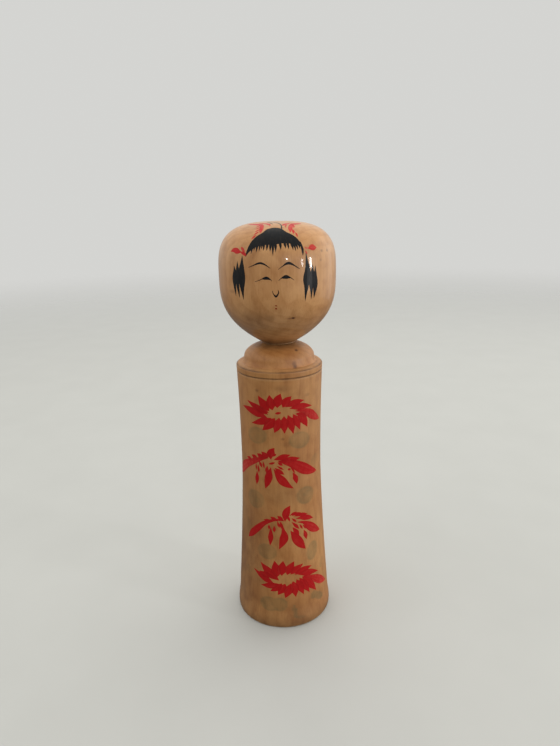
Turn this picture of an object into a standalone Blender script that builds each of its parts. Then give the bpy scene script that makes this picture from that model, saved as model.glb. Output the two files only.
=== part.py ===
"""A turned wooden kokeshi doll whose head turns in a socket in its body.

Both pieces are solids of revolution about +Z. The doll stands at Z 0 and its face looks along -Y.
The head and its neck are one turning: the neck ends in a barb, which snaps past the body's throat
into a wider chamber, so that the head can't lift out but turns without limit.

Run it with: blender --background --python part.py
"""

import math

import bpy

MM = 0.001

# Driving dimensions, in millimetres.
TOTAL_HEIGHT = 239.4
SIDES = 64  # flat sides round each turning

# The head: two quarter superellipses that meet at its widest ring.
HEAD_RADIUS = 32.4
HEAD_CROWN_HEIGHT = 28.4  # from the widest ring up to the top
HEAD_JAW_HEIGHT = 42.3  # from the widest ring down to where the jaw's curve would close
CROWN_POWERS = (2.88, 3.4)  # across and up: squarer than an ellipse
JAW_POWERS = (1.0, 2.9)
CROWN_POINTS = 13
JAW_POINTS = 14

# The collar at the head's foot, which turns just above the shoulder.
COLLAR_RADIUS = 9.6
COLLAR_EDGE = 0.2
SHOULDER_GAP = 0.3

# The body: a flared column under a ledge and a domed shoulder.
BASE_RADIUS = 29.4
BASE_EDGE = 0.8  # rounding where the side meets the ground
WAIST_RADIUS = 23.95
WAIST_BOTTOM = 100.0
WAIST_TOP = 110.0
RIM_RADIUS = 25.0
RIM_HEIGHT = 161.2
FLARE_POWER = 1.4  # how the side spreads below the waist
UPPER_POWER = 1.9  # and above it
FLARE_POINTS = 12
UPPER_POINTS = 6
GROOVE_HEIGHT = 157.4
GROOVE_WIDTH = 0.9
GROOVE_DEPTH = 0.5
RIM_EDGE = 0.7

# The shoulder, from the ledge up to the mouth of the socket.
SHOULDER_FOOT_RADIUS = 21.2
SHOULDER_FOOT_HEIGHT = 162.0
SHOULDER_RADIUS = 20.3
SHOULDER_SPRING_HEIGHT = 164.8  # where the leaning wall turns into the dome
DOME_HEIGHT = 9.0
DOME_POINTS = 8
MOUTH_RADIUS = 9.9
MOUTH_EDGE = 0.3

# The socket and the neck that turns in it.
THROAT_RADIUS = 7.8
THROAT_HEIGHT = 166.0  # underside of the throat
CHAMBER_RADIUS = 9.0
CHAMBER_FLOOR = 150.5
DRILL_POINT_DEPTH = 2.5
NECK_CLEARANCE = 0.3
BARB_RADIUS = 8.6
BARB_SLOPE = 0.3
BARB_LENGTH = 1.4
NECK_END_RADIUS = 6.6
NECK_END_HEIGHT = 153.5

HEAD_WIDEST_HEIGHT = TOTAL_HEIGHT - HEAD_CROWN_HEIGHT
SHARP_ANGLE = math.radians(35)
MERGE_DISTANCE = 0.00001  # metres


def superellipse(radius, height, powers, fraction):
    """A point of the quarter curve (r/radius)^p + (z/height)^q = 1: the side at 0, the top at 1."""
    angle = fraction * math.pi / 2
    across, up = powers
    r = radius * math.cos(angle) ** (2 / across)
    z = height * math.sin(angle) ** (2 / up)
    return r, z


def crown_outline():
    """The head above its widest ring, from the top of the head down and out to that ring."""
    points = [(0.0, TOTAL_HEIGHT)]
    for i in range(CROWN_POINTS - 1, -1, -1):
        r, z = superellipse(HEAD_RADIUS, HEAD_CROWN_HEIGHT, CROWN_POWERS, i / CROWN_POINTS)
        points.append((r, HEAD_WIDEST_HEIGHT + z))
    return points


def jaw_height(radius):
    """The height of the jaw's curve at this radius."""
    across, up = JAW_POWERS
    drop = (1 - (radius / HEAD_RADIUS) ** across) ** (1 / up)
    return HEAD_WIDEST_HEIGHT - HEAD_JAW_HEIGHT * drop


def jaw_outline():
    """The head below its widest ring, in to the collar."""
    collar_top = jaw_height(COLLAR_RADIUS)
    points = []
    for i in range(1, JAW_POINTS):
        r, z = superellipse(HEAD_RADIUS, HEAD_JAW_HEIGHT, JAW_POWERS, i / JAW_POINTS)
        if HEAD_WIDEST_HEIGHT - z > collar_top + COLLAR_EDGE:
            points.append((r, HEAD_WIDEST_HEIGHT - z))
    points.append((COLLAR_RADIUS, collar_top))
    return points


def dome_height(radius):
    """The height of the shoulder's dome at this radius."""
    return SHOULDER_SPRING_HEIGHT + DOME_HEIGHT * math.sqrt(1 - (radius / SHOULDER_RADIUS) ** 2)


def neck_outline():
    """The collar's underside, the neck in its throat and the barb below it, down to the end."""
    collar_bottom = dome_height(MOUTH_RADIUS) + SHOULDER_GAP
    neck_radius = THROAT_RADIUS - NECK_CLEARANCE
    barb_top = THROAT_HEIGHT - NECK_CLEARANCE
    return [
        (COLLAR_RADIUS, collar_bottom + COLLAR_EDGE),
        (COLLAR_RADIUS - COLLAR_EDGE, collar_bottom),
        (neck_radius, collar_bottom),
        (neck_radius, barb_top),
        (BARB_RADIUS, barb_top - BARB_SLOPE),
        (BARB_RADIUS, barb_top - BARB_SLOPE - BARB_LENGTH),
        (NECK_END_RADIUS, NECK_END_HEIGHT),
        (0.0, NECK_END_HEIGHT),
    ]


def side_radius(height):
    """The body's outside radius between its base and its rim."""
    if height < WAIST_BOTTOM:
        share = (WAIST_BOTTOM - height) / WAIST_BOTTOM
        return WAIST_RADIUS + (BASE_RADIUS - WAIST_RADIUS) * share**FLARE_POWER
    share = max(height - WAIST_TOP, 0) / (RIM_HEIGHT - WAIST_TOP)
    return WAIST_RADIUS + (RIM_RADIUS - WAIST_RADIUS) * share**UPPER_POWER


def socket_outline():
    """The inside of the socket, from its floor up to the mouth."""
    mouth_height = dome_height(MOUTH_RADIUS)
    return [
        (0.0, CHAMBER_FLOOR - DRILL_POINT_DEPTH),
        (CHAMBER_RADIUS, CHAMBER_FLOOR),
        (CHAMBER_RADIUS, THROAT_HEIGHT),
        (THROAT_RADIUS, THROAT_HEIGHT),
        (THROAT_RADIUS, mouth_height - MOUTH_EDGE),
        (THROAT_RADIUS + MOUTH_EDGE, mouth_height),
    ]


def shoulder_outline():
    """The dome from the mouth outwards, its leaning wall, the ledge and the rim's edge."""
    points = []
    first = math.asin(MOUTH_RADIUS / SHOULDER_RADIUS)
    for i in range(DOME_POINTS + 1):
        angle = first + (math.pi / 2 - first) * i / DOME_POINTS
        height = SHOULDER_SPRING_HEIGHT + DOME_HEIGHT * math.cos(angle)
        points.append((SHOULDER_RADIUS * math.sin(angle), height))
    points.append((SHOULDER_FOOT_RADIUS, SHOULDER_FOOT_HEIGHT))
    points.append((RIM_RADIUS - RIM_EDGE, RIM_HEIGHT))
    points.append((side_radius(RIM_HEIGHT - RIM_EDGE), RIM_HEIGHT - RIM_EDGE))
    return points


def side_outline():
    """The column from the scored groove down to the flat base."""
    groove_top = GROOVE_HEIGHT + GROOVE_WIDTH / 2
    groove_foot = GROOVE_HEIGHT - GROOVE_WIDTH / 2
    points = [(side_radius(groove_top), groove_top)]
    points.append((side_radius(GROOVE_HEIGHT) - GROOVE_DEPTH, GROOVE_HEIGHT))
    for i in range(UPPER_POINTS):
        height = groove_foot + (WAIST_TOP - groove_foot) * i / UPPER_POINTS
        points.append((side_radius(height), height))
    points.append((WAIST_RADIUS, WAIST_TOP))
    for i in range(FLARE_POINTS):
        height = WAIST_BOTTOM + (BASE_EDGE - WAIST_BOTTOM) * i / (FLARE_POINTS - 1)
        points.append((side_radius(height), height))
    edge_radius = side_radius(BASE_EDGE) - BASE_EDGE
    for degrees in (30, 60, 90):
        turn = math.radians(degrees)
        across = edge_radius + BASE_EDGE * math.cos(turn)
        points.append((across, BASE_EDGE - BASE_EDGE * math.sin(turn)))
    points.append((0.0, 0.0))
    return points


def wood_material(name, colour, roughness):
    material = bpy.data.materials.new(name)
    material.use_nodes = True
    shader = material.node_tree.nodes["Principled BSDF"]
    shader.inputs["Base Color"].default_value = (*colour, 1.0)
    shader.inputs["Roughness"].default_value = roughness
    shader.inputs["Metallic"].default_value = 0.0
    return material


def turning(name, outline, origin_height, material, collection):
    """One turned piece: its half outline, in millimetres, swept round +Z by a Screw modifier."""
    profile = bpy.data.meshes.new(name)
    points = [(r * MM, 0.0, (z - origin_height) * MM) for r, z in outline]
    profile.from_pydata(points, [(i, i + 1) for i in range(len(points) - 1)], [])
    piece = bpy.data.objects.new(name, profile)
    piece.location.z = origin_height * MM
    collection.objects.link(piece)
    screw = piece.modifiers.new("Turn", "SCREW")
    screw.axis = "Z"
    screw.steps = SIDES
    screw.render_steps = SIDES
    screw.use_merge_vertices = True
    screw.merge_threshold = MERGE_DISTANCE

    depsgraph = bpy.context.evaluated_depsgraph_get()
    piece.data = bpy.data.meshes.new_from_object(piece.evaluated_get(depsgraph))
    piece.modifiers.clear()
    bpy.data.meshes.remove(profile)
    piece.data.name = name
    piece.data.shade_smooth()
    piece.data.set_sharp_from_angle(angle=SHARP_ANGLE)
    piece.data.materials.append(material)
    return piece


def main():
    for obj in list(bpy.data.objects):
        bpy.data.objects.remove(obj)
    doll = bpy.data.collections.new("kokeshi_doll")
    bpy.context.scene.collection.children.link(doll)

    body_wood = wood_material("body_wood", (0.40, 0.21, 0.085), 0.42)
    head_wood = wood_material("head_wood", (0.47, 0.26, 0.11), 0.32)
    body_outline = socket_outline() + shoulder_outline() + side_outline()
    head_outline = crown_outline() + jaw_outline() + neck_outline()
    body = turning("body", body_outline, 0.0, body_wood, doll)
    # The head's origin lies on the axis that it turns about, at the throat's underside.
    head = turning("head", head_outline, THROAT_HEIGHT, head_wood, doll)
    head.parent = body


main()
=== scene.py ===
"""The looks of the kokeshi doll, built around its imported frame.

The two turnings are the CAD's own outlines, refined and turned again. Every painted figure is a
thin closed skin in the shape of its brush strokes. Drawings on a side use degrees from the front
(positive towards +X) and heights in mm. Those on the crown use mm seen from above, front at -Y.
"""
import random
from math import acos, cos, pi, radians, sin, sqrt

import bpy
import numpy as np
from mathutils import Euler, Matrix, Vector
from mathutils.geometry import delaunay_2d_cdt


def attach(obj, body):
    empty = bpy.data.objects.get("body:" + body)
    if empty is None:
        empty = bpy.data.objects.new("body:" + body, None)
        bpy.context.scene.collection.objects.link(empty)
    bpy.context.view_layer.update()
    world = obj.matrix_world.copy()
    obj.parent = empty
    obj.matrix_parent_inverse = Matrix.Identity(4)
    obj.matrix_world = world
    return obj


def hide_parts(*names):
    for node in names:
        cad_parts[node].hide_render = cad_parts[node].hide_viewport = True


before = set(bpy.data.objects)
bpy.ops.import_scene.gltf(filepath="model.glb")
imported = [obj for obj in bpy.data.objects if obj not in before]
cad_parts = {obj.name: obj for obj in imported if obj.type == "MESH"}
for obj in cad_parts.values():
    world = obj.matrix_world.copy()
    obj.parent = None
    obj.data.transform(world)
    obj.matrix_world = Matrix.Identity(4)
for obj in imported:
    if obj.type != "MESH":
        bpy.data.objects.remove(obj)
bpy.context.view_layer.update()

MM = 0.001

# --- The turnings ---

SEGMENTS = 144  # round each turning
ROW_STEP = 0.5  # mm along the outline
CORNER = radians(35)  # a sharper turn of the outline is an edge
STRAIGHT = 12.0  # mm: longer stretches of the outline are straight
WORN_EDGE = 0.3  # mm cut back on each side of an edge
TOUCH = 0.001  # mm
PROUD = 0.03  # mm that paint stands above the wood
SUNK = 0.05  # mm that it reaches into it
SOCKET_RADIUS = 10.2  # mm: the socket and its mouth are nearer the axis

FOOT_RING = 3.5  # mm: how wide the ring is that the doll stands on
HOLLOW = 0.4  # mm: how far the lathe cut the middle of the underside back
HOLLOW_RINGS = 5
RING_RELIEF = 0.07  # mm
HOLLOW_EDGE = 1.5  # mm: how wide the slope is from the ring to the hollow


def cad_outline(node):
    """The half outline of a turned CAD node: its (radius, height) points in order, in mm."""
    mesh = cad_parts[node].data
    corners = {}
    for vertex in mesh.vertices:
        x, y, z = vertex.co / MM
        if abs(y) < TOUCH and x > -TOUCH:
            corners[vertex.index] = (round(max(x, 0.0), 3), round(z, 3))
    beside = {}
    for edge in mesh.edges:
        a, b = (corners.get(index) for index in edge.vertices)
        if a and b and a != b:
            beside.setdefault(a, set()).add(b)
            beside.setdefault(b, set()).add(a)
    ends = [point for point, others in beside.items() if len(others) == 1]
    walk = [max(ends, key=lambda point: point[1])]
    while len(walk) < len(beside):
        walk.append(next(point for point in beside[walk[-1]] if point not in walk[-2:]))
    return np.array(walk)


def lengths_along(points):
    """How far along its path each point lies."""
    steps = np.linalg.norm(np.diff(points, axis=0), axis=1)
    return np.concatenate([[0], np.cumsum(steps)])


def spline(points, count):
    """count + 1 points along the natural cubic spline through these."""
    points = np.array(points, float)
    knots = lengths_along(points)
    gaps = np.diff(knots)
    system = np.eye(len(knots))
    bends = np.zeros_like(points)
    for i in range(1, len(knots) - 1):
        system[i, i - 1:i + 2] = gaps[i - 1], 2 * (gaps[i - 1] + gaps[i]), gaps[i]
        slope_in = (points[i] - points[i - 1]) / gaps[i - 1]
        bends[i] = 6 * ((points[i + 1] - points[i]) / gaps[i] - slope_in)
    bends = np.linalg.solve(system, bends)
    at = np.linspace(0, knots[-1], count + 1)
    i = np.clip(np.searchsorted(knots, at, side="right") - 1, 0, len(gaps) - 1)
    before = ((knots[i + 1] - at) / gaps[i])[:, None]
    after = 1 - before
    sag = (before**3 - before) * bends[i] + (after**3 - after) * bends[i + 1]
    return before * points[i] + after * points[i + 1] + sag * gaps[i][:, None] ** 2 / 6


def worn_corner(points, curve):
    """Takes the last point away and starts the curve with a bend round that corner instead."""
    corner = points.pop()
    before, after = points[-1] - corner, curve[1] - corner
    room = min(np.linalg.norm(before), np.linalg.norm(after))
    cut = min(WORN_EDGE, 0.6 * room)
    near = corner + before * cut / np.linalg.norm(before)
    far = corner + after * cut / np.linalg.norm(after)
    bend = [near * (1 - t) ** 2 + corner * 2 * t * (1 - t) + far * t**2 for t in (0, 0.35, 0.65, 1)]
    return np.concatenate([bend, curve[1:]])


def refined(outline):
    """The outline with its curves filled in and its edges worn round."""
    steps = np.diff(outline, axis=0)
    lengths = np.linalg.norm(steps, axis=1)
    runs = []
    start = 0
    for i in range(1, len(outline) - 1):
        turned_by = acos(np.clip(steps[i - 1] @ steps[i] / lengths[i - 1] / lengths[i], -1, 1))
        if turned_by > CORNER or max(lengths[i - 1:i + 1]) > STRAIGHT:
            runs.append(outline[start:i + 1])
            start = i
    runs.append(outline[start:])
    points = []
    for number, run in enumerate(runs):
        count = max(round(lengths_along(run)[-1] / ROW_STEP), 3)
        if number == 0 and len(run) > 2:  # the crown's curve runs level over the axis
            curve = spline(np.concatenate([run[:0:-1] * (-1, 1), run]), 2 * count)[count:]
            curve[0] = run[0]
        else:
            curve = spline(run, count)
        if number:
            curve = worn_corner(points, curve)
        points.extend(curve)
    points = np.array(points)
    points[:, 0] *= (outline[:, 0].max() - 2 * PROUD) / points[:, 0].max()  # room for the paint
    return points


def hollowed_foot(outline):
    """The body's outline, its underside cut back a little inside the ring that it stands on."""
    flat = outline[:, 1] < TOUCH
    foot = outline[flat][0]
    inner = foot[0] - FOOT_RING
    radii = np.linspace(1, 0, round(inner / ROW_STEP)) * inner
    share = np.clip((inner - radii) / HOLLOW_EDGE, 0, 1)
    rings = np.sin(radii / inner * HOLLOW_RINGS * 2 * pi)
    heights = share * (HOLLOW + RING_RELIEF * rings * (radii > HOLLOW_EDGE))
    ring = [(foot[0] - FOOT_RING * t, 0.0) for t in (0, 0.35, 0.7)]
    return np.concatenate([outline[~flat], ring, np.stack([radii, heights], -1)])


def placed(name, data):
    """A new object in the scene."""
    made = bpy.data.objects.new(name, data)
    bpy.context.scene.collection.objects.link(made)
    return made


def smooth_mesh(name, points, faces):
    mesh = bpy.data.meshes.new(name)
    mesh.from_pydata(points * MM, [], faces)
    mesh.shade_smooth()
    return mesh


def turned(name, outline):
    """The closed surface that an outline sweeps, which starts and ends on the axis."""
    turns = np.arange(SEGMENTS) * 2 * pi / SEGMENTS
    sides = [(r * cos(turn), r * sin(turn), z) for r, z in outline[1:-1] for turn in turns]
    points = np.array(sides + [(0, 0, outline[0][1]), (0, 0, outline[-1][1])])
    first, last = len(sides), len(sides) + 1
    end = len(sides) - SEGMENTS
    faces = []
    for j in range(SEGMENTS):
        k = (j + 1) % SEGMENTS
        faces.append((first, j, k))
        for row in range(0, end, SEGMENTS):
            faces.append((row + j, row + SEGMENTS + j, row + SEGMENTS + k, row + k))
        faces.append((last, end + k, end + j))
    return placed(name, smooth_mesh(name, points, faces))


# --- Charts: flat drawings laid on the wood ---

REACH = 0.4  # mm each way, over which a chart measures the wood's slope
REACHES = (REACH, 0, -REACH)


class SideChart:
    """A drawing on a turning's side, in degrees from its own front and mm of height."""

    def __init__(self, outline, lowest, highest, middle, front=0.0, lowered=0.0):
        outside = outline[:, 0] > SOCKET_RADIUS
        side = outline[outside & (outline[:, 1] > lowest) & (outline[:, 1] < highest)]
        side = side[np.argsort(side[:, 1])]
        self.radii, self.heights = side.T
        self.lengths = lengths_along(side)
        self.degree = radians(np.interp(middle, self.heights, self.radii))
        self.front = front
        self.lowered = lowered

    def flat(self, drawn):
        """Drawn points as mm across and mm along the outline."""
        drawn = np.array(drawn, float)
        along = np.interp(drawn[:, 1] - self.lowered, self.heights, self.lengths)
        return np.stack([(drawn[:, 0] + self.front) * self.degree, along], -1)

    def wrap(self, flat, lift):
        """The places on the wood of flat points, raised by lift mm."""
        angle = np.radians(flat[:, 0] / self.degree)
        above, here, below = (self.outline_at(flat[:, 1] + step) for step in REACHES)
        slope = above - below
        slope /= np.linalg.norm(slope, axis=1)[:, None]
        out = here[:, 0] + lift * slope[:, 1]
        up = here[:, 1] - lift * slope[:, 0]
        return np.stack([out * np.sin(angle), -out * np.cos(angle), up], -1)

    def outline_at(self, along):
        radius = np.interp(along, self.lengths, self.radii)
        height = np.interp(along, self.lengths, self.heights)
        return np.stack([radius, height], -1)


class CrownChart:
    """A drawing on the top of the head, in mm as seen from above."""

    def __init__(self, outline, lowest):
        crown = outline[outline[:, 1] > lowest]
        self.radii, self.heights = crown[np.argsort(crown[:, 0])].T

    def flat(self, drawn):
        return np.array(drawn, float)

    def wrap(self, flat, lift):
        radius = np.hypot(flat[:, 0], flat[:, 1])
        outer, here, inner = (np.interp(radius + step, self.radii, self.heights) for step in REACHES)
        fall = (inner - outer) / (2 * REACH)
        size = np.hypot(1, fall)
        out = 1 + lift * fall / size / np.maximum(radius, TOUCH)
        return np.stack([flat[:, 0] * out, flat[:, 1] * out, here + lift / size], -1)


# --- Brush strokes ---

STROKE_POINTS = 18
HEEL = 0.3  # mm: how wide a petal starts
PETAL_SHARES = (0.66, 1, 0.68, 0)  # of its full width, at the places after its heel
BELLY = 0.5  # how far along a petal it is widest
RING_BELLY = 0.38  # on the flowers whose petals make a ring
WAVER = 0.035  # how much a stroke's width wavers, as a share of it
POINTED = 0.12  # mm: a narrower end has no rounding
CAP_TURNS = np.radians([60, 30, 0, -30, -60])
DOT_POINTS = 10
ROUNDING = 1e-9
hand = random.Random(8)


class Stroke:
    """A brush stroke along a flat path. Load is how much dye is left at its start and its end."""

    def __init__(self, path, widths, load=(1.0, 1.0)):
        path = np.array(path, float)
        self.centre = spline(path, STROKE_POINTS)
        self.along = np.linspace(0, 1, STROKE_POINTS + 1)
        knots = lengths_along(path)
        self.half = self.swell(knots / knots[-1], widths) / 2
        self.half *= 1 + WAVER * np.sin(self.along * hand.uniform(9, 17) + hand.uniform(0, 6))
        self.load = load
        self.seed = hand.random()

    def swell(self, knots, widths):
        """The width in mm along the stroke, level where it is widest."""
        width = np.zeros_like(self.along)
        for i in range(len(knots) - 1):
            inside = (self.along >= knots[i] - ROUNDING) & (self.along <= knots[i + 1] + ROUNDING)
            share = (self.along[inside] - knots[i]) / (knots[i + 1] - knots[i])
            starts_widest = i > 0 and widths[i] >= max(widths[i - 1], widths[i + 1])
            ends_widest = i + 2 < len(knots) and widths[i + 1] >= max(widths[i], widths[i + 2])
            if starts_widest and ends_widest:
                share = (1 - np.cos(share * pi)) / 2
            elif ends_widest:
                share = np.sin(share * pi / 2)
            elif starts_widest:
                share = 1 - np.cos(share * pi / 2)
            width[inside] = widths[i] + (widths[i + 1] - widths[i]) * share
        return width

    def outline(self):
        heading = np.gradient(self.centre, axis=0)
        heading /= np.linalg.norm(heading, axis=1)[:, None]
        side = np.stack([heading[:, 1], -heading[:, 0]], -1) * self.half[:, None]
        there = self.centre + side
        back = (self.centre - side)[::-1]
        end = self.cap(self.centre[-1], heading[-1], self.half[-1])
        start = self.cap(self.centre[0], -heading[0], self.half[0])
        return np.concatenate([there, end, back, start])

    @staticmethod
    def cap(tip, heading, half):
        """The points round a blunt end, or none at a pointed one."""
        if half < POINTED:
            return np.empty((0, 2))
        right = np.array([heading[1], -heading[0]])
        turns = CAP_TURNS[:, None]
        return tip + half * (np.cos(turns) * heading + np.sin(turns) * right)

    def touch(self, points):
        """How the brush left each point: the dye's load and the place across the stroke, 0 to 1."""
        ways = points[:, None] - self.centre[None]
        distance = np.linalg.norm(ways, axis=2)
        nearest = np.argmin(distance - self.half, axis=1)
        rows = np.arange(len(points))
        heading = np.gradient(self.centre, axis=0)[nearest]
        way = ways[rows, nearest]
        side = np.sign(heading[:, 0] * way[:, 1] - heading[:, 1] * way[:, 0])
        share = np.minimum(distance[rows, nearest] / np.maximum(self.half[nearest], POINTED), 1)
        load = np.interp(self.along[nearest], (0, 1), self.load)
        return load, (1 + side * share) / 2


class Blot(Stroke):
    """A filled area inside a closed curve, brushed in from start to end."""

    def __init__(self, corners, start, end):
        reach = np.linalg.norm(np.array(end) - start)
        super().__init__([start, end], [reach, reach])
        closed = np.array(list(corners) + [corners[0]], float)
        self.curve = spline(closed, 4 * len(corners))[:-1]

    def outline(self):
        return self.curve


def ribbon(chart, *nodes, load=(1.0, 1.0)):
    """A stroke through nodes of (x, y, width in mm)."""
    nodes = np.array(nodes, float)
    return Stroke(chart.flat(nodes[:, :2]), nodes[:, 2], load)


def ribbons(chart, paths, load=(1.0, 1.0)):
    return [ribbon(chart, *nodes, load=load) for nodes in paths]


def petal(chart, heel, tip, width, bow=0.0, belly=BELLY):
    """A petal from heel to tip, whose middle lies bow mm to the left of the straight."""
    start, end = chart.flat([heel, tip])
    way = end - start
    left = np.array([-way[1], way[0]]) / np.linalg.norm(way)
    stages = (0, belly / 2, belly, (1 + belly) / 2, 1)
    path = [start + way * t + left * bow * 4 * t * (1 - t) for t in stages]
    return Stroke(path, [HEEL] + [share * width for share in PETAL_SHARES])


def dot(chart, place, width, height):
    """A round or oval touch of the brush's tip."""
    centre = chart.flat([place])[0]
    turns = np.linspace(0, 2 * pi, DOT_POINTS, endpoint=False)
    size = np.array([width, height]) / 2
    corners = centre + size * np.stack([np.cos(turns), np.sin(turns)], -1)
    return Blot(corners, centre - size * (1, 0), centre + size * (1, 0))


# --- Skins of paint ---

MOST_LAYERS = 4
TRIANGLE = 0.9  # mm: the sides of a skin's triangles
MERGED = 1e-3  # mm


def anticlockwise(outline):
    """The outline in the order that the union needs."""
    ahead = np.roll(outline, -1, axis=0)
    area = (outline[:, 0] * ahead[:, 1] - ahead[:, 0] * outline[:, 1]).sum()
    return outline if area > 0 else outline[::-1]


def union_sheet(strokes):
    """The strokes' union: its points, its triangles and the strokes over each triangle."""
    points = []
    faces = []
    for stroke in strokes:
        outline = anticlockwise(stroke.outline())
        faces.append(list(range(len(points), len(points) + len(outline))))
        points.extend(outline)
    low, high = np.min(points, axis=0), np.max(points, axis=0)
    rows = np.arange(low[1], high[1], TRIANGLE * sqrt(3) / 2)
    for i, y in enumerate(rows):
        for x in np.arange(low[0] + TRIANGLE / 2 * (i % 2), high[0], TRIANGLE):
            points.append((x, y))
    made = delaunay_2d_cdt([Vector(point) for point in points], [], faces, 0, MERGED, True)
    flat, triangles, owners = made[0], made[2], made[5]
    kept = [i for i, over in enumerate(owners) if over]
    flat = np.array([tuple(point) for point in flat])
    return flat, [list(triangles[i]) for i in kept], [owners[i] for i in kept]


def parted_fans(flat, triangles):
    """Gives each fan of triangles its own point where fans meet only at that point."""
    fans_at = {}
    for number, triangle in enumerate(triangles):
        for corner in triangle:
            fans_at.setdefault(corner, []).append(number)
    added = []
    for corner, numbers in fans_at.items():
        loose = set(numbers)
        first = True
        while loose:
            fan = [loose.pop()]
            for number in fan:
                mates = {m for m in loose if len(set(triangles[m]) & set(triangles[number])) == 2}
                loose -= mates
                fan.extend(mates)
            if not first:
                for number in fan:
                    place = triangles[number].index(corner)
                    triangles[number][place] = len(flat) + len(added)
                added.append(flat[corner])
            first = False
    if added:
        flat = np.concatenate([flat, added])
    return flat, triangles


def paint_skin(figure, chart):
    """One closed thin piece in the shape of all the figure's strokes."""
    strokes = figure(chart)
    flat, triangles, owners = union_sheet(strokes)
    flat, triangles = parted_fans(flat, triangles)
    used, renumbered = np.unique(triangles, return_inverse=True)
    flat = flat[used]
    triangles = [tuple(corners) for corners in renumbered.reshape(-1, 3).tolist()]
    count = len(flat)
    points = np.concatenate([chart.wrap(flat, PROUD), chart.wrap(flat, -SUNK)])
    border = {}
    for number, (a, b, c) in enumerate(triangles):
        for edge in ((a, b), (b, c), (c, a)):
            if border.pop(edge[::-1], None) is None:
                border[edge] = number
    faces = list(triangles)
    faces += [(c + count, b + count, a + count) for a, b, c in triangles]
    faces += [(b, a, a + count, b + count) for a, b in border]
    over = owners + owners + [owners[number] for number in border.values()]
    mesh = smooth_mesh(figure.__name__, points, faces)
    rims = {tuple(sorted(corner + side for corner in edge)) for edge in border for side in (0, count)}
    for edge in mesh.edges:
        if tuple(sorted(edge.vertices)) in rims:
            edge.use_edge_sharp = True
    record_brush(mesh, np.concatenate([flat, flat]), over, strokes)
    return placed(figure.__name__, mesh)


def record_brush(mesh, flat, over, strokes):
    """Stores on each corner the load, the place across the stroke, the layers and the seed."""
    values = np.zeros((len(mesh.loops), 4))
    top = np.array([max(owners) for owners in over])
    layers = np.array([min(len(owners), MOST_LAYERS) / MOST_LAYERS for owners in over])
    of_loop = np.repeat(np.arange(len(mesh.polygons)), [p.loop_total for p in mesh.polygons])
    at = np.array([loop.vertex_index for loop in mesh.loops])
    for number, stroke in enumerate(strokes):
        mine = np.nonzero(top[of_loop] == number)[0]
        if len(mine):
            load, across = stroke.touch(flat[at[mine]])
            seeds = np.full(len(mine), stroke.seed)
            values[mine] = np.stack([load, across, layers[of_loop[mine]], seeds], -1)
    layer = mesh.attributes.new("brush", "FLOAT_COLOR", "CORNER")
    layer.data.foreach_set("color", values.ravel())


# --- The painted figures ---

DRYING = (1.0, 0.6)  # a long petal's brush runs dry


def chrysanthemum_1(chart):
    """The top flower: a ring of petals round an open middle, trailing to the right."""
    petals = [
        ((-19, 135.7), (-62, 139.3), 4.7, -0.6), ((-17.5, 137.5), (-50.5, 143.8), 4.2, -0.1),
        ((-16.5, 138.6), (-42, 141.8), 3.5), ((-15.5, 139.6), (-30.4, 147.9), 5.6, 0.3),
        ((-11, 140.2), (-14.8, 149), 5.6, 0.2), ((-4.5, 141.6), (0.3, 149.9), 5.6, 0.6),
        ((2.5, 141.8), (14.2, 148), 5.1, 0.4), ((6.5, 142), (33, 144.5), 4, 0.8),
        ((12, 140.8), (47, 139.8), 3.9, 0.9), ((20, 137.2), (45, 134.2), 3.3, 0.4),
        ((22, 137.6), (38.3, 127.8), 5.5, 0.8), ((16.4, 137.2), (26.3, 127.3), 4.7, 0.2),
        ((9.3, 137), (16.5, 125.4), 4.9, 0.2), ((4, 136.5), (4.3, 126), 5.1),
        ((-2.5, 135.6), (-9.5, 126.6), 5.5, 0.4), ((-8, 135.4), (-26.3, 127.6), 5.5, 0.3),
        ((-13, 135.4), (-43.6, 130.7), 4.2, 0.4),
    ]
    trail = [(19.5, 139, 0.3), (27, 138.7, 1.6), (35, 137.7, 3.6), (45, 135, 5.2), (56, 131.9, 4.2),
             (67, 129.3, 0.8)]
    eye = [(-7, 138.2, 0.6), (-4, 138.4, 1.5), (-0.8, 138.6, 0.8)]
    strokes = [petal(chart, *shape, belly=RING_BELLY) for shape in petals]
    return strokes + [ribbon(chart, *trail, load=DRYING), ribbon(chart, *eye)]


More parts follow.
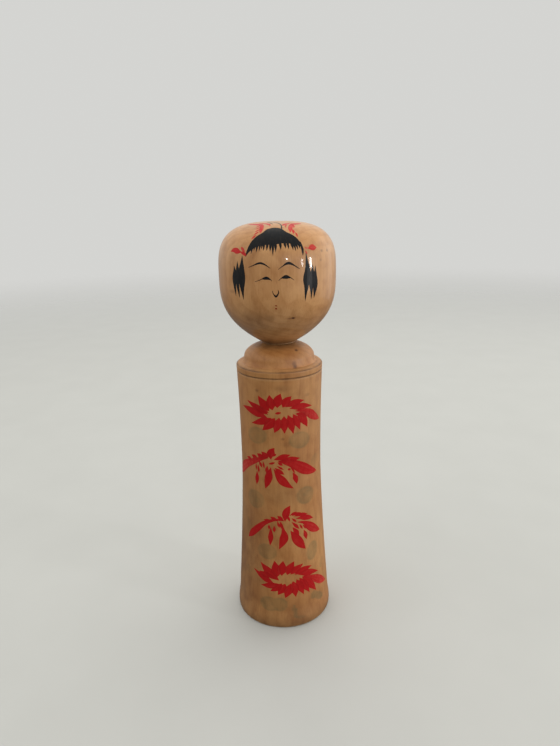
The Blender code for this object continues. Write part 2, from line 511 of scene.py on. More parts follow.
def chrysanthemum_2(chart):
    """The second flower: two long petals that hang to the sides, with short ones between."""
    petals = [
        ((-45, 106.6), (-58, 107.8), 2.4, -0.2), ((-35, 108.2), (-46.8, 110.4), 3, -0.2),
        ((-25, 109.8), (-36.6, 112.3), 3.2), ((-19.5, 110.6), (-29.4, 114.1), 3.2),
        ((-15.5, 110.8), (-21, 114.6), 2.8), ((-15.5, 110.1), (-10, 117.2), 4.5, 1),
        ((-12.5, 112), (-7.8, 113.6), 1.2), ((-11, 109.9), (11.6, 112.7), 3.5, 0.2),
        ((-3.5, 109), (25.8, 109.8), 3.6, 0.3), ((-11.6, 104.2), (15.5, 91.5), 4.9, -1.4),
        ((-16, 104.9), (-24.7, 91.2), 4.8, 0.2), ((-20.8, 105.6), (-22.8, 101), 2.1),
        ((-33.2, 108), (-28.8, 103.9), 1.8), ((-27.2, 108), (-25.6, 103.8), 1.4),
        ((-37.4, 100.9), (-38.6, 92.5), 2.8, 0.1), ((-38.8, 105.8), (-38.6, 101.6), 1.1),
        ((-35.4, 105.2), (-34.4, 100.2), 1.5), ((14.6, 101.4), (20.2, 93.9), 3.2, 0.4),
        ((-6, 108.3), (0.8, 106.4), 1.8), ((-6.8, 106), (2, 103.7), 1.3),
        ((-10.2, 104.8), (2.8, 100.7), 2.6, -0.1), ((11.8, 104.6), (17.2, 100.7), 1.1, 0.3),
    ]
    long_left = [(-20, 110.8, 0.6), (-32, 109.2, 2.4), (-42, 107.1, 3.6), (-50, 105.3, 4.4),
                 (-60, 102.8, 5.2), (-70, 99.5, 5.8), (-80, 96, 5.4), (-88, 93.2, 1.6)]
    long_right = [(-5, 109, 0.6), (6, 108.3, 3.6), (18, 106.2, 5.8), (30, 103, 6.6), (42, 100.2, 5.6),
                  (52, 98.4, 2.9), (58.4, 97.4, 0)]
    strokes = [petal(chart, *shape) for shape in petals]
    strokes.append(ribbon(chart, *long_left, load=(1.0, 0.45)))
    strokes.append(ribbon(chart, *long_right, load=(1.0, 0.9)))
    strokes.append(ribbon(chart, (-18, 107.2, 0.6), (-14, 107.6, 1.4), (-10.8, 108.1, 0.6)))
    strokes.append(dot(chart, (9.4, 103.8), 1.7, 1.5))
    return strokes


def chrysanthemum_3(chart):
    """The third flower: like the second, with its top petal farther right."""
    petals = [
        ((-7.5, 71.8), (-17.4, 74.2), 2.3), ((0.5, 72), (-7.6, 75.2), 2.2),
        ((-14, 71.2), (-27.5, 71.6), 1.8, -0.2), ((2.8, 71.6), (10.2, 81.4), 4.7, 0.9),
        ((4.3, 75.6), (9.4, 71.1), 1.5, 0.2), ((9.5, 75), (19.4, 76.9), 1.5, 0.1),
        ((12.5, 74.9), (25.8, 75.7), 1.8, 0.2), ((16, 74.2), (36.8, 73.4), 2.3, 0.5),
        ((18.6, 72.6), (46.8, 69), 3.4, 0.8), ((12.2, 73), (18.8, 70.2), 1.4),
        ((12.2, 70.5), (22.4, 65.4), 2, 0.1), ((13.2, 67.1), (21.8, 60.8), 3, 0.1),
        ((10, 65.2), (30.9, 51.1), 5.7, -0.3), ((23.2, 68.2), (27.3, 64.8), 1.3),
        ((28, 67.2), (35, 63.8), 1.5), ((29.2, 63.8), (32.9, 57.2), 2.6, 0.2),
        ((-7.5, 71.4), (-4.8, 67.5), 1.4), ((-3.4, 71.4), (-1.6, 66.6), 1.8),
        ((-12, 68.4), (-12.2, 64.3), 1.8), ((-19.4, 68.8), (-19.4, 65.9), 1.5),
        ((-17, 67), (-18.2, 55.4), 3, 0.2),
    ]
    long_left = [(0.8, 72, 0.5), (-8, 72.6, 1.4), (-17, 71.6, 2), (-25, 69.8, 2.6), (-35, 65.8, 3.6),
                 (-45, 61.2, 4.2), (-53.5, 56.7, 0.8)]
    long_right = [(20.5, 70, 0.4), (29, 68.9, 1.8), (37, 66, 4.6), (45, 62.9, 5.3), (53, 60.3, 3.9),
                  (62, 57.8, 0)]
    hanging = [(-0.8, 69, 0.5), (0, 66, 1.8), (1.2, 63.2, 3.7), (0.6, 60.2, 4.9), (-2.2, 57, 3.3),
               (-6, 53.5, 0)]
    strokes = [petal(chart, *shape) for shape in petals]
    strokes.append(ribbon(chart, *long_left))
    strokes.append(ribbon(chart, *long_right, load=(1.0, 0.8)))
    strokes.append(ribbon(chart, *hanging))
    return strokes


def chrysanthemum_4(chart):
    """The lowest flower: a ring like the top one."""
    petals = [
        ((-13, 30.1), (-43.2, 36.9), 4, 0.1), ((-7, 32.8), (-32.2, 43), 5.6, 0.2),
        ((-10, 34.4), (-12.4, 45.6), 5.6, -0.3), ((-3, 36), (-0.9, 45.7), 5.5, 0.2),
        ((4, 36.4), (13.7, 44.8), 5.1, 0.4), ((8.5, 36.5), (26, 41.9), 4.5, 0.4),
        ((14, 36), (39.6, 38.3), 4.4, 0.6), ((19, 35.4), (51.2, 31.9), 4.2, 0.9),
        ((24, 33.2), (45, 19.9), 4.9, 0.4), ((20.2, 33), (33.7, 21), 4.4, 0.2),
        ((16, 32.4), (25, 21.2), 4.5, 0.2), ((11, 31.6), (14.3, 20.8), 4.9, 0.2),
        ((8, 30.2), (0.7, 20.9), 5.5, 0.3), ((1, 30.4), (-8.4, 23), 5.1, 0.3),
        ((-3, 30.6), (-18, 24.9), 4.2, 0.4), ((-6, 30.2), (-31.4, 27.8), 4, 0.4),
    ]
    inner = [(-9, 33.2, 0.3), (-17, 34.9, 2.2), (-25, 35.4, 3.6), (-32, 36.2, 1.4)]
    trail = [(25, 33.4, 0.3), (35, 31.5, 2.2), (45, 28.4, 4.6), (54, 25, 5), (62, 22.4, 3.4),
             (69.4, 20.2, 0.6)]
    strokes = [petal(chart, *shape, belly=RING_BELLY) for shape in petals]
    return strokes + [ribbon(chart, *inner), ribbon(chart, *trail, load=DRYING)]


# Each flower, with its own front in degrees and how far it is lowered in mm, from the top down.
FLOWERS = [
    (chrysanthemum_1, 0.8, 0.6),
    (chrysanthemum_2, 1.2, 0.35),
    (chrysanthemum_3, 0.6, 0.75),
    (chrysanthemum_4, 0.5, 0.5),
]


def fringe(chart):
    """The fringe: a rounded mass of hair with a row of brush-drawn points under it."""
    mass = [
        (-30.7, 223.4), (-29.7, 226.6), (-27.4, 229.8), (-23, 232.6), (-18.5, 234), (-16.4, 234.7),
        (-14.6, 235.6), (-10, 236.3), (-4, 236.6), (2, 236.4), (6.6, 235.8), (9, 234.9), (14, 233.7),
        (19.4, 231.8), (22.6, 228.6), (24, 224.3), (21.5, 227.6), (16, 228.7), (10, 229.2), (4, 229.3),
        (-2, 228.9), (-8, 228.8), (-14, 228.6), (-20, 227.8), (-26, 226),
    ]
    strokes = [Blot(chart.flat(mass), *chart.flat([(-3, 236), (-3, 228)]))]
    tips = [
        (-25.4, 224.4, 1.5), (-22.8, 225.9, 1.2), (-20.4, 225.1, 1.4), (-17.7, 225.7, 1.3),
        (-15.6, 226.6, 1.1), (-13.6, 226, 1.3), (-10.4, 226, 1.4), (-7.3, 225.5, 1.4),
        (-4.8, 223.6, 1.4), (-2.2, 225.2, 1.5), (2.5, 226.3, 1.5), (7.1, 226.8, 1.4), (10, 226.4, 1.3),
        (14.1, 226, 1.6), (16.4, 225.5, 1.4), (18.6, 226, 1.4), (21, 226.4, 1.2),
    ]
    root, bend = 232, 229.2  # where each point of hair starts and where it is widest
    for angle, height, width in tips:
        strokes.append(ribbon(chart, (angle * 0.85 - 0.5, root, 0.6), (angle * 0.95 - 0.2, bend, width),
                              (angle * 0.98, (height + bend) / 2, 0.72 * width), (angle, height, 0.08)))
    strokes.append(ribbon(chart, (-27, 229, 1.2), (-29, 225.8, 1.3), (-30.9, 223, 0.05)))
    strokes.append(ribbon(chart, (22, 229.4, 1.2), (23.3, 226, 1.3), (23, 223.1, 0.05)))
    return strokes


def side_lock_left(chart):
    return ribbons(chart, [
        [(-44.1, 218.4, 0.05), (-43.6, 216, 1.6), (-43.9, 212, 3.3), (-44.2, 209.3, 2.1),
         (-43.7, 206, 1.2), (-43.5, 202.8, 0.05)],
        [(-40, 220.8, 0.05), (-39.9, 217.4, 1.6), (-39.8, 213, 3.6), (-40.3, 209.3, 2.2),
         (-39.5, 205.4, 1.2), (-39, 202, 0.05)],
        [(-34.5, 223.6, 0.05), (-34.7, 220, 1.7), (-35, 217.4, 3.2), (-34.8, 213, 3.9),
         (-35.2, 209, 3.3), (-34.9, 205.2, 1.6), (-34.5, 201.2, 0.05)],
    ])


def side_lock_right(chart):
    return [
        ribbon(chart, (26.4, 225, 0.05), (26.5, 221, 1.2), (26.9, 218, 2.4), (27, 214.5, 3.7),
               (25.9, 211.4, 3.9), (25.9, 208.3, 2.9), (25.3, 205, 1.5), (25, 199.9, 0.05),
               load=(0.5, 2.4)),
        ribbon(chart, (32.7, 218.5, 0.05), (32.3, 215.2, 1.8), (31.4, 211, 3.6), (31.2, 208, 2.6),
               (31.3, 205, 1.4), (31.4, 200.8, 0.05), load=(0.8, 1.3)),
        ribbon(chart, (35.9, 217.8, 0.05), (35.5, 215, 1.3), (35.7, 211.4, 2.6), (36, 208.8, 2.7),
               (35.2, 205.8, 2.3), (34.8, 203.8, 1.3), (34.5, 201.2, 0.05), load=(0.85, 1.3)),
    ]


def brow_left(chart):
    return [ribbon(chart, (-27.8, 217.8, 0.15), (-22.7, 218.9, 0.45), (-16, 220, 1),
                   (-11.8, 219.2, 0.65), (-7.2, 217.4, 0.2))]


def brow_right(chart):
    return [ribbon(chart, (-0.3, 216.8, 0.15), (4.5, 218.7, 0.5), (9, 219.8, 1.3),
                   (13.6, 218.8, 0.7), (19.6, 216.6, 0.2))]


def eye_left(chart):
    return ribbons(chart, [
        [(-21.6, 210.8, 0.18), (-15.5, 212.1, 0.35), (-11, 213.2, 0.5), (-6.2, 211.3, 0.25)],
        [(-15.2, 212.1, 0.15), (-11, 212.5, 1.25), (-7, 211.8, 0.15)],
    ])


def eye_right(chart):
    return ribbons(chart, [
        [(-0.1, 211.4, 0.2), (3.2, 212.9, 0.4), (6.3, 213.8, 0.55), (10, 212.9, 0.42),
         (14, 211.3, 0.2)],
        [(2.4, 212.5, 0.15), (6.7, 212.95, 1.6), (11, 212.5, 0.15)],
    ])


def nose(chart):
    return [ribbon(chart, (-5.6, 206.4, 0.2), (-5.5, 205.3, 0.3), (-4.3, 204.2, 0.5), (-2.6, 203.35, 1),
                   (-1.3, 204.2, 0.75), (-0.3, 205.4, 0.5), (-0.8, 206.7, 0.2))]


def bow_left(chart):
    return [
        ribbon(chart, (-50.2, 225.2, 0.2), (-46.5, 226, 2.1), (-42.5, 225.8, 2.9), (-39.5, 225.4, 2.3),
               (-37, 225.3, 0.8)),
        ribbon(chart, (-36.8, 227.3, 0.8), (-34.8, 226.6, 1.4), (-32.8, 224.8, 0.9), load=(0.8, 0.8)),
        ribbon(chart, (-36.8, 225.2, 0.4), (-34, 224.7, 1.5), (-32, 224.2, 1.5), (-30.4, 223.6, 0.6)),
    ]


def bow_right(chart):
    return [
        ribbon(chart, (29.6, 226.4, 0.3), (32.5, 226.7, 2.6), (35, 226.8, 3.3), (37.2, 226.7, 2.4),
               (39.2, 226.6, 0.5), load=(0.75, 0.75)),
        ribbon(chart, (26.2, 227.2, 0.3), (27, 226.8, 0.8), (28.6, 226.6, 0.4), (30, 226.7, 0.4),
               load=(0.5, 0.5)),
        ribbon(chart, (26.2, 225.3, 0.4), (26.8, 224.6, 0.8), (27.3, 223.8, 0.3), load=(0.7, 0.7)),
    ]


def mouth(chart):
    return [dot(chart, (-2.9, 198.6), 1, 0.7), dot(chart, (-2.9, 197.05), 1.05, 0.9)]


def crown_ties(chart):
    """The red ties beside the topknot: a column each side that splits into bands over the crown."""
    left = [
        ((-7.5, -14.4, 0.9), (-7.4, -17.5, 2.1), (-7.5, -20.5, 2.2), (-8, -23.4, 0.9)),
        ((-7.4, -16.5, 0.8), (-9.2, -14, 2.4), (-12.1, -11, 2.1), (-14.8, -7, 0.5)),
        ((-3.2, -18.6, 0.3), (-4.2, -15.5, 1.7), (-6.3, -13.3, 1.6), (-9, -11, 0.4)),
        ((-7.8, -16.4, 0.6), (-9.2, -17.1, 0.9), (-10.4, -17.9, 0.2)),
        ((-7.8, -18.8, 0.6), (-9.3, -19.5, 0.9), (-10.6, -20.3, 0.2)),
        ((-7.8, -20.9, 0.6), (-9.4, -21.5, 0.9), (-10.8, -22.2, 0.2)),
        ((-8.8, -22.9, 0.2), (-10, -23.3, 0.9), (-11.4, -23.8, 0.2)),
        ((-10.2, -24.5, 0.2), (-11.4, -24.8, 0.9), (-12.7, -25.2, 0.2)),
    ]
    right = [
        ((8, -14.4, 0.8), (7.6, -17.5, 2.1), (7.1, -20.5, 2.3), (6.9, -23.9, 0.6)),
        ((7.6, -16.4, 0.8), (9.2, -14.2, 2.2), (11.2, -12.4, 1.8), (12.8, -10.4, 0.4)),
        ((3.2, -18.6, 0.3), (4.2, -16.4, 1.7), (6, -14.6, 1.5), (7.4, -12.8, 0.4)),
        ((8.3, -15.6, 0.4), (8.9, -17.6, 0.9), (8.8, -20.2, 0.2)),
        ((8.3, -21.8, 0.4), (8.5, -23.2, 1.4), (8.4, -24.6, 0.3)),
        ((9.6, -23.6, 0.3), (10.1, -24.6, 0.9), (10.4, -25.5, 0.3)),
        ((5.2, -17.2, 0.3), (4.7, -19, 0.7), (4.6, -20.8, 0.1)),
    ]
    # The ties' dye is thin, so they come out pale pink: partly painted sheen for the glare on them.
    return ribbons(chart, left + right, load=(0.95, 0.7))


def crown_strands(chart):
    """Thin strands of hair that run back from the topknot over the crown."""
    strands = [
        ((2.7, -22, 0.7), (2.5, -18.5, 0.6), (1.5, -15.2, 0.6), (-0.8, -11.8, 0.55), (-4.6, -8.4, 0.1)),
        ((-1.6, -16.6, 0.1), (-3, -13.4, 0.7), (-4.8, -9.6, 0.1)),
    ]
    return ribbons(chart, strands, load=(0.8, 0.35))


# --- Materials ---


def tone(red, green, blue):
    """A colour given as screen values from 0 to 255."""
    linear = [(value / 255 / 12.92) if value < 11 else ((value / 255 + 0.055) / 1.055) ** 2.4
              for value in (red, green, blue)]
    return (*linear, 1.0)


class Nodes:
    """A tree whose nodes are made and fed by short calls."""

    def __init__(self, tree):
        self.tree = tree

    def node(self, kind, feeds=(), **settings):
        made = self.tree.nodes.new("ShaderNode" + kind)
        for key, value in settings.items():
            setattr(made, key, value)
        self.feed(made, feeds)
        return made

    def feed(self, node, feeds):
        for key, value in dict(feeds).items():
            if isinstance(value, bpy.types.NodeSocket):
                self.tree.links.new(value, node.inputs[key])
            else:
                node.inputs[key].default_value = value

    def maths(self, operation, a, b=0.0):
        return self.node("Math", {0: a, 1: b}, operation=operation).outputs[0]

    def times(self, a, b):
        return self.maths("MULTIPLY", a, b)

    def spread(self, value, low, high, to=(0.0, 1.0), ease="SMOOTHSTEP"):
        """The value's stretch from low to high, eased onto another range."""
        feeds = {"Value": value, "From Min": low, "From Max": high, "To Min": to[0], "To Max": to[1]}
        return self.node("MapRange", feeds, interpolation_type=ease).outputs["Result"]


class Look(Nodes):
    """A material. Places are the piece's own, in mm."""

    def __init__(self, name):
        self.material = bpy.data.materials.new(name)
        self.material.use_nodes = True
        super().__init__(self.material.node_tree)
        self.surface = self.tree.nodes["Principled BSDF"]
        own = self.node("TexCoord").outputs["Object"]
        self.place = self.vector("MULTIPLY", own, (1 / MM,) * 3)

    def vector(self, operation, a, b):
        return self.node("VectorMath", {0: a, 1: b}, operation=operation).outputs[0]

    def length(self, vector):
        return self.node("VectorMath", {0: vector}, operation="LENGTH").outputs["Value"]

    def noise(self, per_mm, detail, place=None):
        """Noise from 0 to 1 with this many features per mm along each axis."""
        at = self.vector("MULTIPLY", place or self.place, per_mm)
        return self.node("TexNoise", {"Vector": at, "Scale": 1.0, "Detail": detail}).outputs[0]

    def mix(self, a, b, share, blend="MIX"):
        feeds = {0: share, 6: a, 7: b}
        return self.node("Mix", feeds, data_type="RGBA", blend_type=blend).outputs[2]

    def shaded(self, colour, shades):
        """The colour multiplied by these screen colours, as far as their shares say."""
        for shade, share in shades:
            colour = self.mix(colour, tone(*shade), share, "MULTIPLY")
        return colour

    def stored(self, name, output="Fac"):
        return self.node("Attribute", attribute_name=name).outputs[output]

    def marks(self, chart, shapes):
        """How strongly each place lies in one of these soft dark marks."""
        strongest = 0.0
        for angle, height, half_width, half_height, strength in shapes:
            centre = chart.wrap(chart.flat([(angle, height)]), 0)[0]
            away = self.vector("SUBTRACT", self.place, tuple(centre))
            away = self.length(self.vector("DIVIDE", away, (half_width, half_width, half_height)))
            strongest = self.maths("MAXIMUM", self.spread(away, 0.2, 1.3, (strength, 0.0)), strongest)
        return strongest

    def bump(self, layers):
        """Bump from (height, depth in mm) layers."""
        feeds = {"Strength": 1.0}
        for height, depth in layers:
            feeds.update({"Height": height, "Distance": depth * MM})
            feeds["Normal"] = self.node("Bump", feeds).outputs[0]
        self.feed(self.surface, {"Normal": feeds["Normal"]})

    def finish(self, coat, coat_roughness=0.07, shine=0.42):
        """The clear finish over wood and paint alike."""
        self.feed(self.surface, {"Specular IOR Level": shine, "Coat Weight": coat,
                                 "Coat Roughness": coat_roughness})


RING_SPACING = 2.7  # mm
RING_SWAY = 9.0  # mm
LATE_WOOD = 0.35  # where in each ring the dark late wood starts
RING_END = 0.93
FIBRE = (1.9, 1.9, 0.06)  # features per mm
PATINA = (0.045, 0.045, 0.03)
ROUGHNESS_RANGE = (-0.06, 0.08)


def growth_rings(look, pith):
    """Late wood lines round a pith that lies off the lathe's axis."""
    sway = look.noise((0.035, 0.035, 0.008), 2)
    centre = look.vector("MULTIPLY", look.vector("SUBTRACT", look.place, (*pith, 0)), (1, 1, 0))
    swayed = look.maths("ADD", look.length(centre), look.times(sway, RING_SWAY))
    ring = look.maths("FRACT", look.maths("DIVIDE", swayed, RING_SPACING))
    late = look.spread(ring, LATE_WOOD, RING_END)
    return look.times(late, look.spread(ring, RING_END, 1.0, (1.0, 0.0)))


def varied(look, value, noise, high=0.7):
    """A roughness that wavers about this value."""
    return look.spread(noise, 0.3, high, [value + change for change in ROUGHNESS_RANGE])


def turned_wood(name, pale, deep, pith, roughness, coat, coat_roughness, relief, chart, stains_and_shade):
    """Aged hardwood under a worn clear finish: rings, fibres, pores, patina, stains and dirt, with
    painted shade and painted highlight where the stored marks and bands lay them.
    """
    look = Look(name)
    fibre = look.noise(FIBRE, 4)
    streak = look.noise((0.3, 0.3, 0.012), 3)
    patina = look.noise(PATINA, 4)
    mottle = look.noise((0.2, 0.2, 0.14), 5)
    pores = look.spread(look.noise((3.4, 3.4, 0.25), 2), 0.64, 0.74)
    colour = look.shaded(look.mix(tone(*pale), tone(*deep), look.spread(patina, 0.3, 0.72)), (
        ((214, 196, 172), look.spread(mottle, 0.42, 0.75, (0.0, 0.48))),
        ((226, 216, 200), look.spread(streak, 0.42, 0.7, (0.0, 0.32))),
        ((222, 206, 184), look.times(growth_rings(look, pith), 0.3)),
        ((226, 212, 196), look.spread(fibre, 0.4, 0.7, (0.0, 0.3))),
        ((190, 160, 130), look.times(pores, 0.45)),
    ))
    # Bare wood, and pale edge bands that are partly painted highlight.
    bare_and_highlit = look.stored("bare_and_highlit")
    # Dirt, and painted shade in the crevices, under the head's collar and at the foot.
    dirt_and_shade = look.times(look.stored("grime_and_shade"), look.spread(mottle, 0.25, 0.75, (0.65, 1.1)))
    wash = look.times(look.stored("wash"), look.spread(mottle, 0.3, 0.7, (0.36, 0.62)))
    # Stains, and on the body painted shade over its lower left and bottom.
    stain_and_shade = look.times(look.marks(chart, stains_and_shade), look.spread(mottle, 0.2, 0.6, (0.7, 1.1)))
    for cover, share in (
        # pale bare wood, also the painted highlight on the rim's edges
        ((206, 168, 122), look.times(bare_and_highlit, 0.75)),
        ((106, 100, 60), wash),
        # the colour of the dirt and of the painted shade
        ((84, 61, 34), dirt_and_shade),
        # the colour of the stains and of the painted shade
        ((66, 30, 10), stain_and_shade),
    ):
        colour = look.mix(colour, tone(*cover), share)
    rough = varied(look, roughness, look.noise((0.09, 0.09, 0.05), 4), high=0.72)
    rough = look.maths("ADD", rough, look.times(look.maths("MAXIMUM", bare_and_highlit, dirt_and_shade), 0.22))
    look.feed(look.surface, {"Base Color": colour, "Roughness": rough})
    look.finish(coat, coat_roughness)
    lathe = look.noise((0.0, 0.0, 1.5), 3)
    look.bump([(patina, 0.08), (mottle, 0.012), (lathe, 0.012), (fibre, relief), (pores, -0.015)])
    return look.material


def brushed(name, dense, thin, roughness, coat):
    """Dye or ink laid on by brush: denser where strokes overlap, paler where the brush ran dry."""
    look = Look(name)
    brush = look.stored("brush", "Color")
    seed = look.stored("brush", "Alpha")
    load, across, layers = look.node("SeparateColor", {"Color": brush}).outputs
    height = look.node("SeparateXYZ", {"Vector": look.place}).outputs["Z"]
    trail = {"X": look.times(across, 7.0), "Y": look.times(seed, 40.0), "Z": look.times(height, 0.12)}
    trail = look.node("CombineXYZ", trail).outputs[0]
    hairs = look.noise((1.0, 1.0, 1.0), 3, place=trail)
    soak = look.noise((0.55, 0.55, 0.3), 4)
    left = look.maths("ADD", load, look.spread(hairs, 0.3, 0.7, (-0.16, 0.1)))
    left = look.maths("ADD", left, look.spread(soak, 0.3, 0.7, (-0.12, 0.06)))
    from_middle = look.maths("ABSOLUTE", look.maths("SUBTRACT", across, 0.5))
    colour = look.shaded(look.mix(tone(*thin), tone(*dense), look.spread(left, 0.0, 1.0)), (
        ((205, 190, 190), look.spread(layers, 1 / MOST_LAYERS, 3 / MOST_LAYERS, (0.0, 0.5))),
        ((215, 200, 200), look.spread(from_middle, 0.36, 0.5, (0.0, 0.35))),
    ))
    look.feed(look.surface, {"Base Color": colour, "Roughness": varied(look, roughness, soak)})
    look.finish(coat, shine=0.1)
    look.bump([(look.noise(PATINA, 4), 0.08), (look.noise(FIBRE, 4), 0.01), (hairs, 0.006)])
    return look.material


# --- Age and painted light: stains and painted shade for the materials, and washes, dirt, painted shade and painted highlight stored on the wood's vertices ---

# Faded leaves: degrees, height, half width and half height in mm, tilt in degrees, strength.
LEAF_WASHES = [
    (-34.5, 123.2, 6.2, 4.8, 10, 0.75), (-33, 122.4, 1.9, 1.7, 0, 1), (27, 120.4, 6.4, 4.8, -8, 0.8),
    (-40.5, 82.6, 6, 5.4, 6, 0.75), (-36.5, 82.4, 2.3, 1.9, 0, 1), (35, 85, 6, 5.2, -12, 0.8),
    (38, 85.8, 2.8, 1.8, 0, 1), (54.5, 105, 3, 3.4, -30, 0.4), (-22, 50.4, 5.8, 4.8, 0, 0.75),
    (42.6, 47.4, 4.2, 5.8, -15, 0.9), (-55.5, 63.7, 1.6, 4.5, 0, 0.5), (-19, 15.6, 5.6, 4.6, 0, 0.9),
    (-6, 15.9, 4.6, 4.4, 0, 1), (41, 17.2, 2.6, 2.4, 0, 1), (50, 14.5, 4.8, 2.2, -35, 1),
    (13, 10.5, 1.3, 4.4, 8, 0.9), (19, 6.2, 3.2, 1, -10, 0.6), (-52.4, 33.7, 2.4, 2.6, 20, 0.5),
    (61, 35, 1.6, 3.4, -20, 0.5),
]
# Soft dark marks, which are stains and, on the body's lower left and bottom, painted shade: degrees,
# height, half width and half height in mm, strength.
HEAD_STAINS = [
    (14.5, 191.4, 1.15, 0.6, 1), (12, 191.3, 2.6, 0.5, 0.4), (45.8, 224.8, 1.1, 0.9, 0.45),
    (54.7, 224.6, 1.1, 0.9, 0.45), (43, 220.3, 1, 0.8, 0.25), (-48, 205, 3, 1.1, 0.25),
    (-27, 192, 7, 3.6, 0.16), (-11, 191.5, 4, 2, 0.22),
]
BODY_STAINS_AND_SHADE = [
    (37.3, 170.4, 1.3, 0.75, 0.85), (23.8, 164.2, 1.5, 1.7, 0.45), (24.3, 162.7, 1.4, 1.8, 0.6),
    (4, 152, 6, 2.2, 0.2), (-31, 150.2, 1.4, 1, 0.35), (2.5, 122.2, 1.2, 0.9, 0.35),
    (39, 146.6, 2, 1.2, 0.25), (8, 118.6, 3, 2, 0.2), (2, 87, 13, 8, 0.2),
    # Painted shade: the lower left side and the bottom of the front darkened.
    (-75, 34, 28, 75, 0.4), (0, 0, 42, 18, 0.25),
]
# Bands of dirt and painted shade: height, how far they reach below and above it in mm, strength.
BODY_DIRT_AND_SHADE = [
    # The rim's worn dark line, the darkened groove, painted shade on the shoulder under the head's
    # collar, and darkening towards the foot's edge.
    (160.9, 0.3, 0.4, 0.8), (157.4, 0.4, 0.4, 0.8), (172.2, 1, 0.8, 0.45), (0.4, 0.8, 4.5, 0.4),
]
# Painted shade in the crevice at the head's foot, and the lower head darkened.
HEAD_DIRT_AND_SHADE = [(173.5, 1.5, 3.2, 0.7), (184, 9, 10, 0.2)]
# Pale bands on the ledge's edge and below the groove, in the same order: rubbed wood, and painted
# highlight where these edges catch the light.
BODY_RUBBED_AND_HIGHLIT = [(161.8, 0.35, 0.25, 0.3), (156.6, 0.35, 0.3, 0.3)]
BARE_MOUTH = 9.3  # mm: the socket's mouth, which the head's collar covers
NECK_TOP = 172.9  # mm
UNDERSIDE = 0.6  # mm: the body is bare wood below this


def turned_places(mesh):
    """Each vertex's degrees from the front, radius and height, in degrees and mm."""
    points = np.empty(len(mesh.vertices) * 3)
    mesh.vertices.foreach_get("co", points)
    x, y, z = points.reshape(-1, 3).T / MM
    return np.degrees(np.arctan2(x, -y)), np.hypot(x, y), z


def washes(places, shapes):
    """How strongly each vertex lies in these flat ovals, whose dye gathered at their edges."""
    angle, radius, height = places
    strongest = np.zeros_like(height)
    for at, level, half_width, half_height, tilt, strength in shapes:
        across = np.radians((angle - at + 180) % 360 - 180) * radius
        up = height - level
        lean = radians(tilt)
        along = across * cos(lean) + up * sin(lean)
        beside = up * cos(lean) - across * sin(lean)
        inside = (along / half_width) ** 2 + (beside / half_height) ** 2
        soft = np.exp(-0.7 * inside**2)
        flat = np.clip((soft - 0.3) / 0.25, 0, 1)
        edge = np.exp(-(((soft - 0.55) / 0.14) ** 2))
        strongest = np.maximum(strongest, strength * (0.8 * flat + 0.3 * edge))
    return np.minimum(strongest, 1.0)


def bands(places, shapes):
    """How strongly each vertex lies in these bands."""
    height = places[2]
    strongest = np.zeros_like(height)
    for level, below, above, strength in shapes:
        away = height - level
        reach = np.where(away < 0, below, above)
        strongest = np.maximum(strongest, strength * np.exp(-((away / reach) ** 2)))
    return strongest


def store(mesh, name, values):
    layer = mesh.attributes.new(name, "FLOAT", "POINT")
    layer.data.foreach_set("value", values)


# Stores leaf washes, dirt and painted shade, and bare wood with pale edges that are partly painted
# highlight.
def age_and_shade_body(mesh):
    places = turned_places(mesh)
    radius, height = places[1:]
    in_socket = (radius < BARE_MOUTH) & (height > UNDERSIDE)
    store(mesh, "wash", washes(places, LEAF_WASHES))
    store(mesh, "grime_and_shade", bands(places, BODY_DIRT_AND_SHADE) * ~in_socket)
    bare_and_highlit = (in_socket | (height < UNDERSIDE)).astype(float)
    # The edge bands are rubbed wood and partly painted highlight.
    store(mesh, "bare_and_highlit", np.maximum(bare_and_highlit, bands(places, BODY_RUBBED_AND_HIGHLIT)))


# Stores dirt and painted shade, and the bare neck.
def age_and_shade_head(mesh):
    places = turned_places(mesh)
    on_neck = places[2] < NECK_TOP
    store(mesh, "wash", np.zeros_like(places[2]))
    store(mesh, "grime_and_shade", bands(places, HEAD_DIRT_AND_SHADE) * ~on_neck)
    store(mesh, "bare_and_highlit", on_neck.astype(float))


# --- The pieces ---

HEAD_TURNED = 1.1  # degrees towards +X from the body's front
# Each chart's lowest and highest places, and where its degrees are true to size, in mm of height.
WHOLE_SIDE = (2, 173, 80)
COLUMN = (2, 156, 80)
FACE = (180, 239.2, 211)
CROWN_FOOT = 212


def add(piece, body, material):
    piece.data.materials.append(material)
    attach(piece, body)


def make_body(outline):
    body = turned("body_turning", outline)
    age_and_shade_body(body.data)
    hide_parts("body")
    # The body's wood tones are darker than the head's: partly their own tone, partly painted shade for
    # the less lit body.
    wood = turned_wood("aged_and_shaded_body_wood", (196, 142, 84), (180, 122, 66), pith=(9, 6), roughness=0.5,
                       coat=0.35, coat_roughness=0.5, relief=0.02,
                       chart=SideChart(outline, *WHOLE_SIDE), stains_and_shade=BODY_STAINS_AND_SHADE)
    add(body, "body", wood)


def make_head(outline, face):
    head = turned("head_turning", outline)
    age_and_shade_head(head.data)
    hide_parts("head")
    wood = turned_wood("aged_head_wood", (217, 164, 109), (199, 143, 88), pith=(-7, 5), roughness=0.38,
                       coat=0.4, coat_roughness=0.07, relief=0.014, chart=face, stains_and_shade=HEAD_STAINS)
    add(head, "head", wood)


def paint_body(outline):
    red = brushed("red_dye", (176, 25, 26), (208, 88, 72), 0.5, 0.06)
    for flower, front, lowered in FLOWERS:
        column = SideChart(outline, *COLUMN, front, lowered)
        add(paint_skin(flower, column), "body", red)


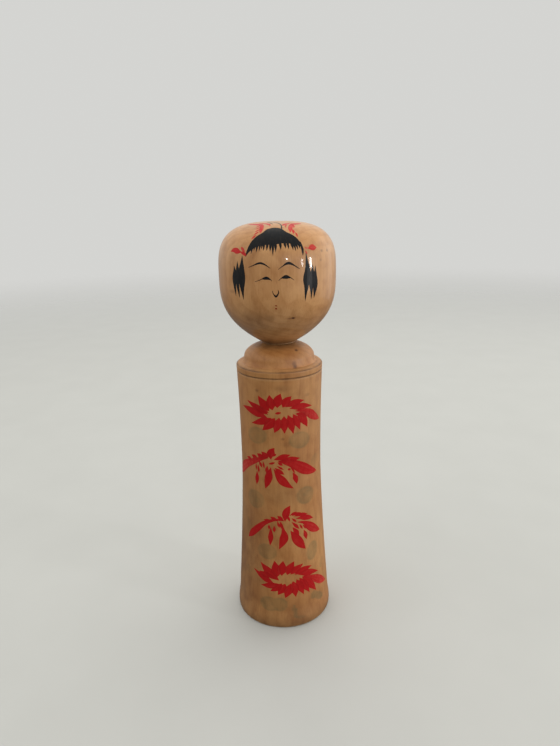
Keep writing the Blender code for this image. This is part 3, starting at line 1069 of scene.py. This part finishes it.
def paint_head(outline, face):
    # Its pale pink thin tone is partly painted sheen for the glare on the crown's ties.
    red = brushed("head_red_dye_and_painted_sheen", (198, 36, 36), (218, 112, 92), 0.42, 0.3)
    black = brushed("black_ink", (22, 23, 25), (86, 72, 60), 0.4, 0.4)
    lip = brushed("lip_dye", (138, 48, 28), (180, 100, 64), 0.4, 0.3)
    crown = CrownChart(outline, CROWN_FOOT)
    hair_and_features = (
        fringe, side_lock_left, side_lock_right, brow_left, brow_right, eye_left, eye_right, nose,
    )
    for figures, chart, slot, dye in (
        (hair_and_features, face, "black_ink", black),
        ((bow_left, bow_right), face, "red_dye", red),
        ((mouth,), face, "red_dye", lip),
        ((crown_ties,), crown, "red_dye", red),
        ((crown_strands,), crown, "black_ink", black),
    ):
        for figure in figures:
            add(paint_skin(figure, chart), "head", dye)


def make_doll():
    body_outline = hollowed_foot(refined(cad_outline("body")))
    head_outline = refined(cad_outline("head"))
    face = SideChart(head_outline, *FACE, HEAD_TURNED)
    make_body(body_outline)
    make_head(head_outline, face)
    paint_body(body_outline)
    paint_head(head_outline, face)


# --- The studio ---

CAMERA_PLACE = (0.0003, -0.3141, 0.2465)  # m
CAMERA_PITCH = radians(90 - 16.45)
CAMERA_ROLL = radians(-1.2)
SENSOR = 36.0  # mm, the image's long side
LENS = 27.1  # mm
FLOOR_FADE = 0.35  # m from the doll, where the floor starts to fade
FLOOR_END = 2.2
FLOOR_CORNERS = 96
TARGET = Vector((0, 0, 0.13))  # m: where the lights aim
WALL_SEEN = 0.66  # how bright the camera sees the room


def make_camera():
    data = bpy.data.cameras.new("camera")
    data.sensor_width = SENSOR
    data.lens = LENS
    data.clip_start = 0.01
    camera = placed("camera", data)
    camera.location = CAMERA_PLACE
    camera.rotation_euler = (Euler((CAMERA_PITCH, 0, 0)).to_matrix()
                             @ Euler((0, 0, CAMERA_ROLL)).to_matrix()).to_euler()
    bpy.context.scene.camera = camera


def make_floor():
    """A plain pale floor that fades into the pale room, so that no horizon shows."""
    turns = np.arange(FLOOR_CORNERS) * 2 * pi / FLOOR_CORNERS
    rim = [(FLOOR_END * cos(turn), FLOOR_END * sin(turn), 0) for turn in turns]
    mesh = bpy.data.meshes.new("floor")
    mesh.from_pydata(rim, [], [tuple(range(len(rim)))])
    look = Look("pale_floor")
    colour = look.mix(tone(196, 196, 191), tone(190, 190, 185), look.noise((0.02, 0.02, 0.02), 3))
    look.feed(look.surface, {"Base Color": colour, "Roughness": 0.9, "Specular IOR Level": 0.05})
    gone = look.spread(look.length(look.place), FLOOR_FADE / MM, FLOOR_END / MM)
    clear = look.node("BsdfTransparent").outputs[0]
    mixed = look.node("MixShader", {0: gone, 1: look.surface.outputs[0], 2: clear}).outputs[0]
    look.feed(look.tree.nodes["Material Output"], {"Surface": mixed})
    mesh.materials.append(look.material)
    floor = placed("floor", mesh)
    floor.visible_diffuse = False  # it lights nothing, as the dark table under the doll doesn't
    floor.visible_glossy = False


def soft_light(name, azimuth, elevation, distance, size, power, seen=True):
    """An area light aimed at the doll. Its azimuth is in degrees from the front towards +X."""
    data = bpy.data.lights.new(name, "AREA")
    data.shape = "RECTANGLE"
    data.size, data.size_y = size
    data.energy = power
    light = placed(name, data)
    light.visible_glossy = seen
    turn, rise = radians(azimuth), radians(elevation)
    out = Vector((sin(turn) * cos(rise), -cos(turn) * cos(rise), sin(rise)))
    light.location = TARGET + out * distance
    light.rotation_euler = out.to_track_quat("Z", "Y").to_euler()


def make_lights():
    """Windows, a lamp and a wall that the varnish mirrors, and two fills that it doesn't.

    Each has azimuth, elevation, distance and size in m, and power.
    """
    for light in (
        ("window", 66, 6.5, 1.6, (0.12, 0.32), 6),
        ("window_pane", 48, 6.5, 1.6, (0.1, 0.24), 2),
        ("far_lamp", 18.5, 13, 1.8, (0.1, 0.1), 2),
        ("window_sill", 63, -5, 1.6, (0.3, 0.3), 0.35),
        ("right_wall", 110, 10, 1.2, (0.9, 1.2), 2.4),
        ("ceiling", 165, 62, 1.3, (1.4, 1.2), 8, False),
        ("left_wall", -70, 42, 1.4, (1.2, 1.2), 4.5, False),
    ):
        soft_light(*light)


def make_room():
    """A pale room: dimmer in front of the doll than behind it, and dim below it."""
    world = bpy.data.worlds.new("room")
    world.use_nodes = True
    bpy.context.scene.world = world
    room = Nodes(world.node_tree)
    way = room.node("TexCoord").outputs["Generated"]
    parts = room.node("SeparateXYZ", {0: way}).outputs
    rays = room.node("LightPath").outputs
    strength = 1.0
    for value, low, high, to in (
        (parts["Y"], -1.0, 0.5, (0.42, 0.8)),
        (parts["Z"], -0.3, 0.1, (0.25, 1.0)),
        (rays["Is Glossy Ray"], 0.0, 1.0, (1.0, 0.85)),
    ):
        strength = room.times(strength, room.spread(value, low, high, to, "LINEAR"))
    feeds = {"Factor": rays["Is Camera Ray"], "A": strength, "B": WALL_SEEN}
    strength = room.node("Mix", feeds).outputs["Result"]
    room.feed(room.tree.nodes["Background"], {"Color": (1.0, 1.0, 0.97, 1.0), "Strength": strength})


make_camera()
make_doll()
make_floor()
make_lights()
make_room()
bpy.context.scene.view_settings.view_transform = "Standard"
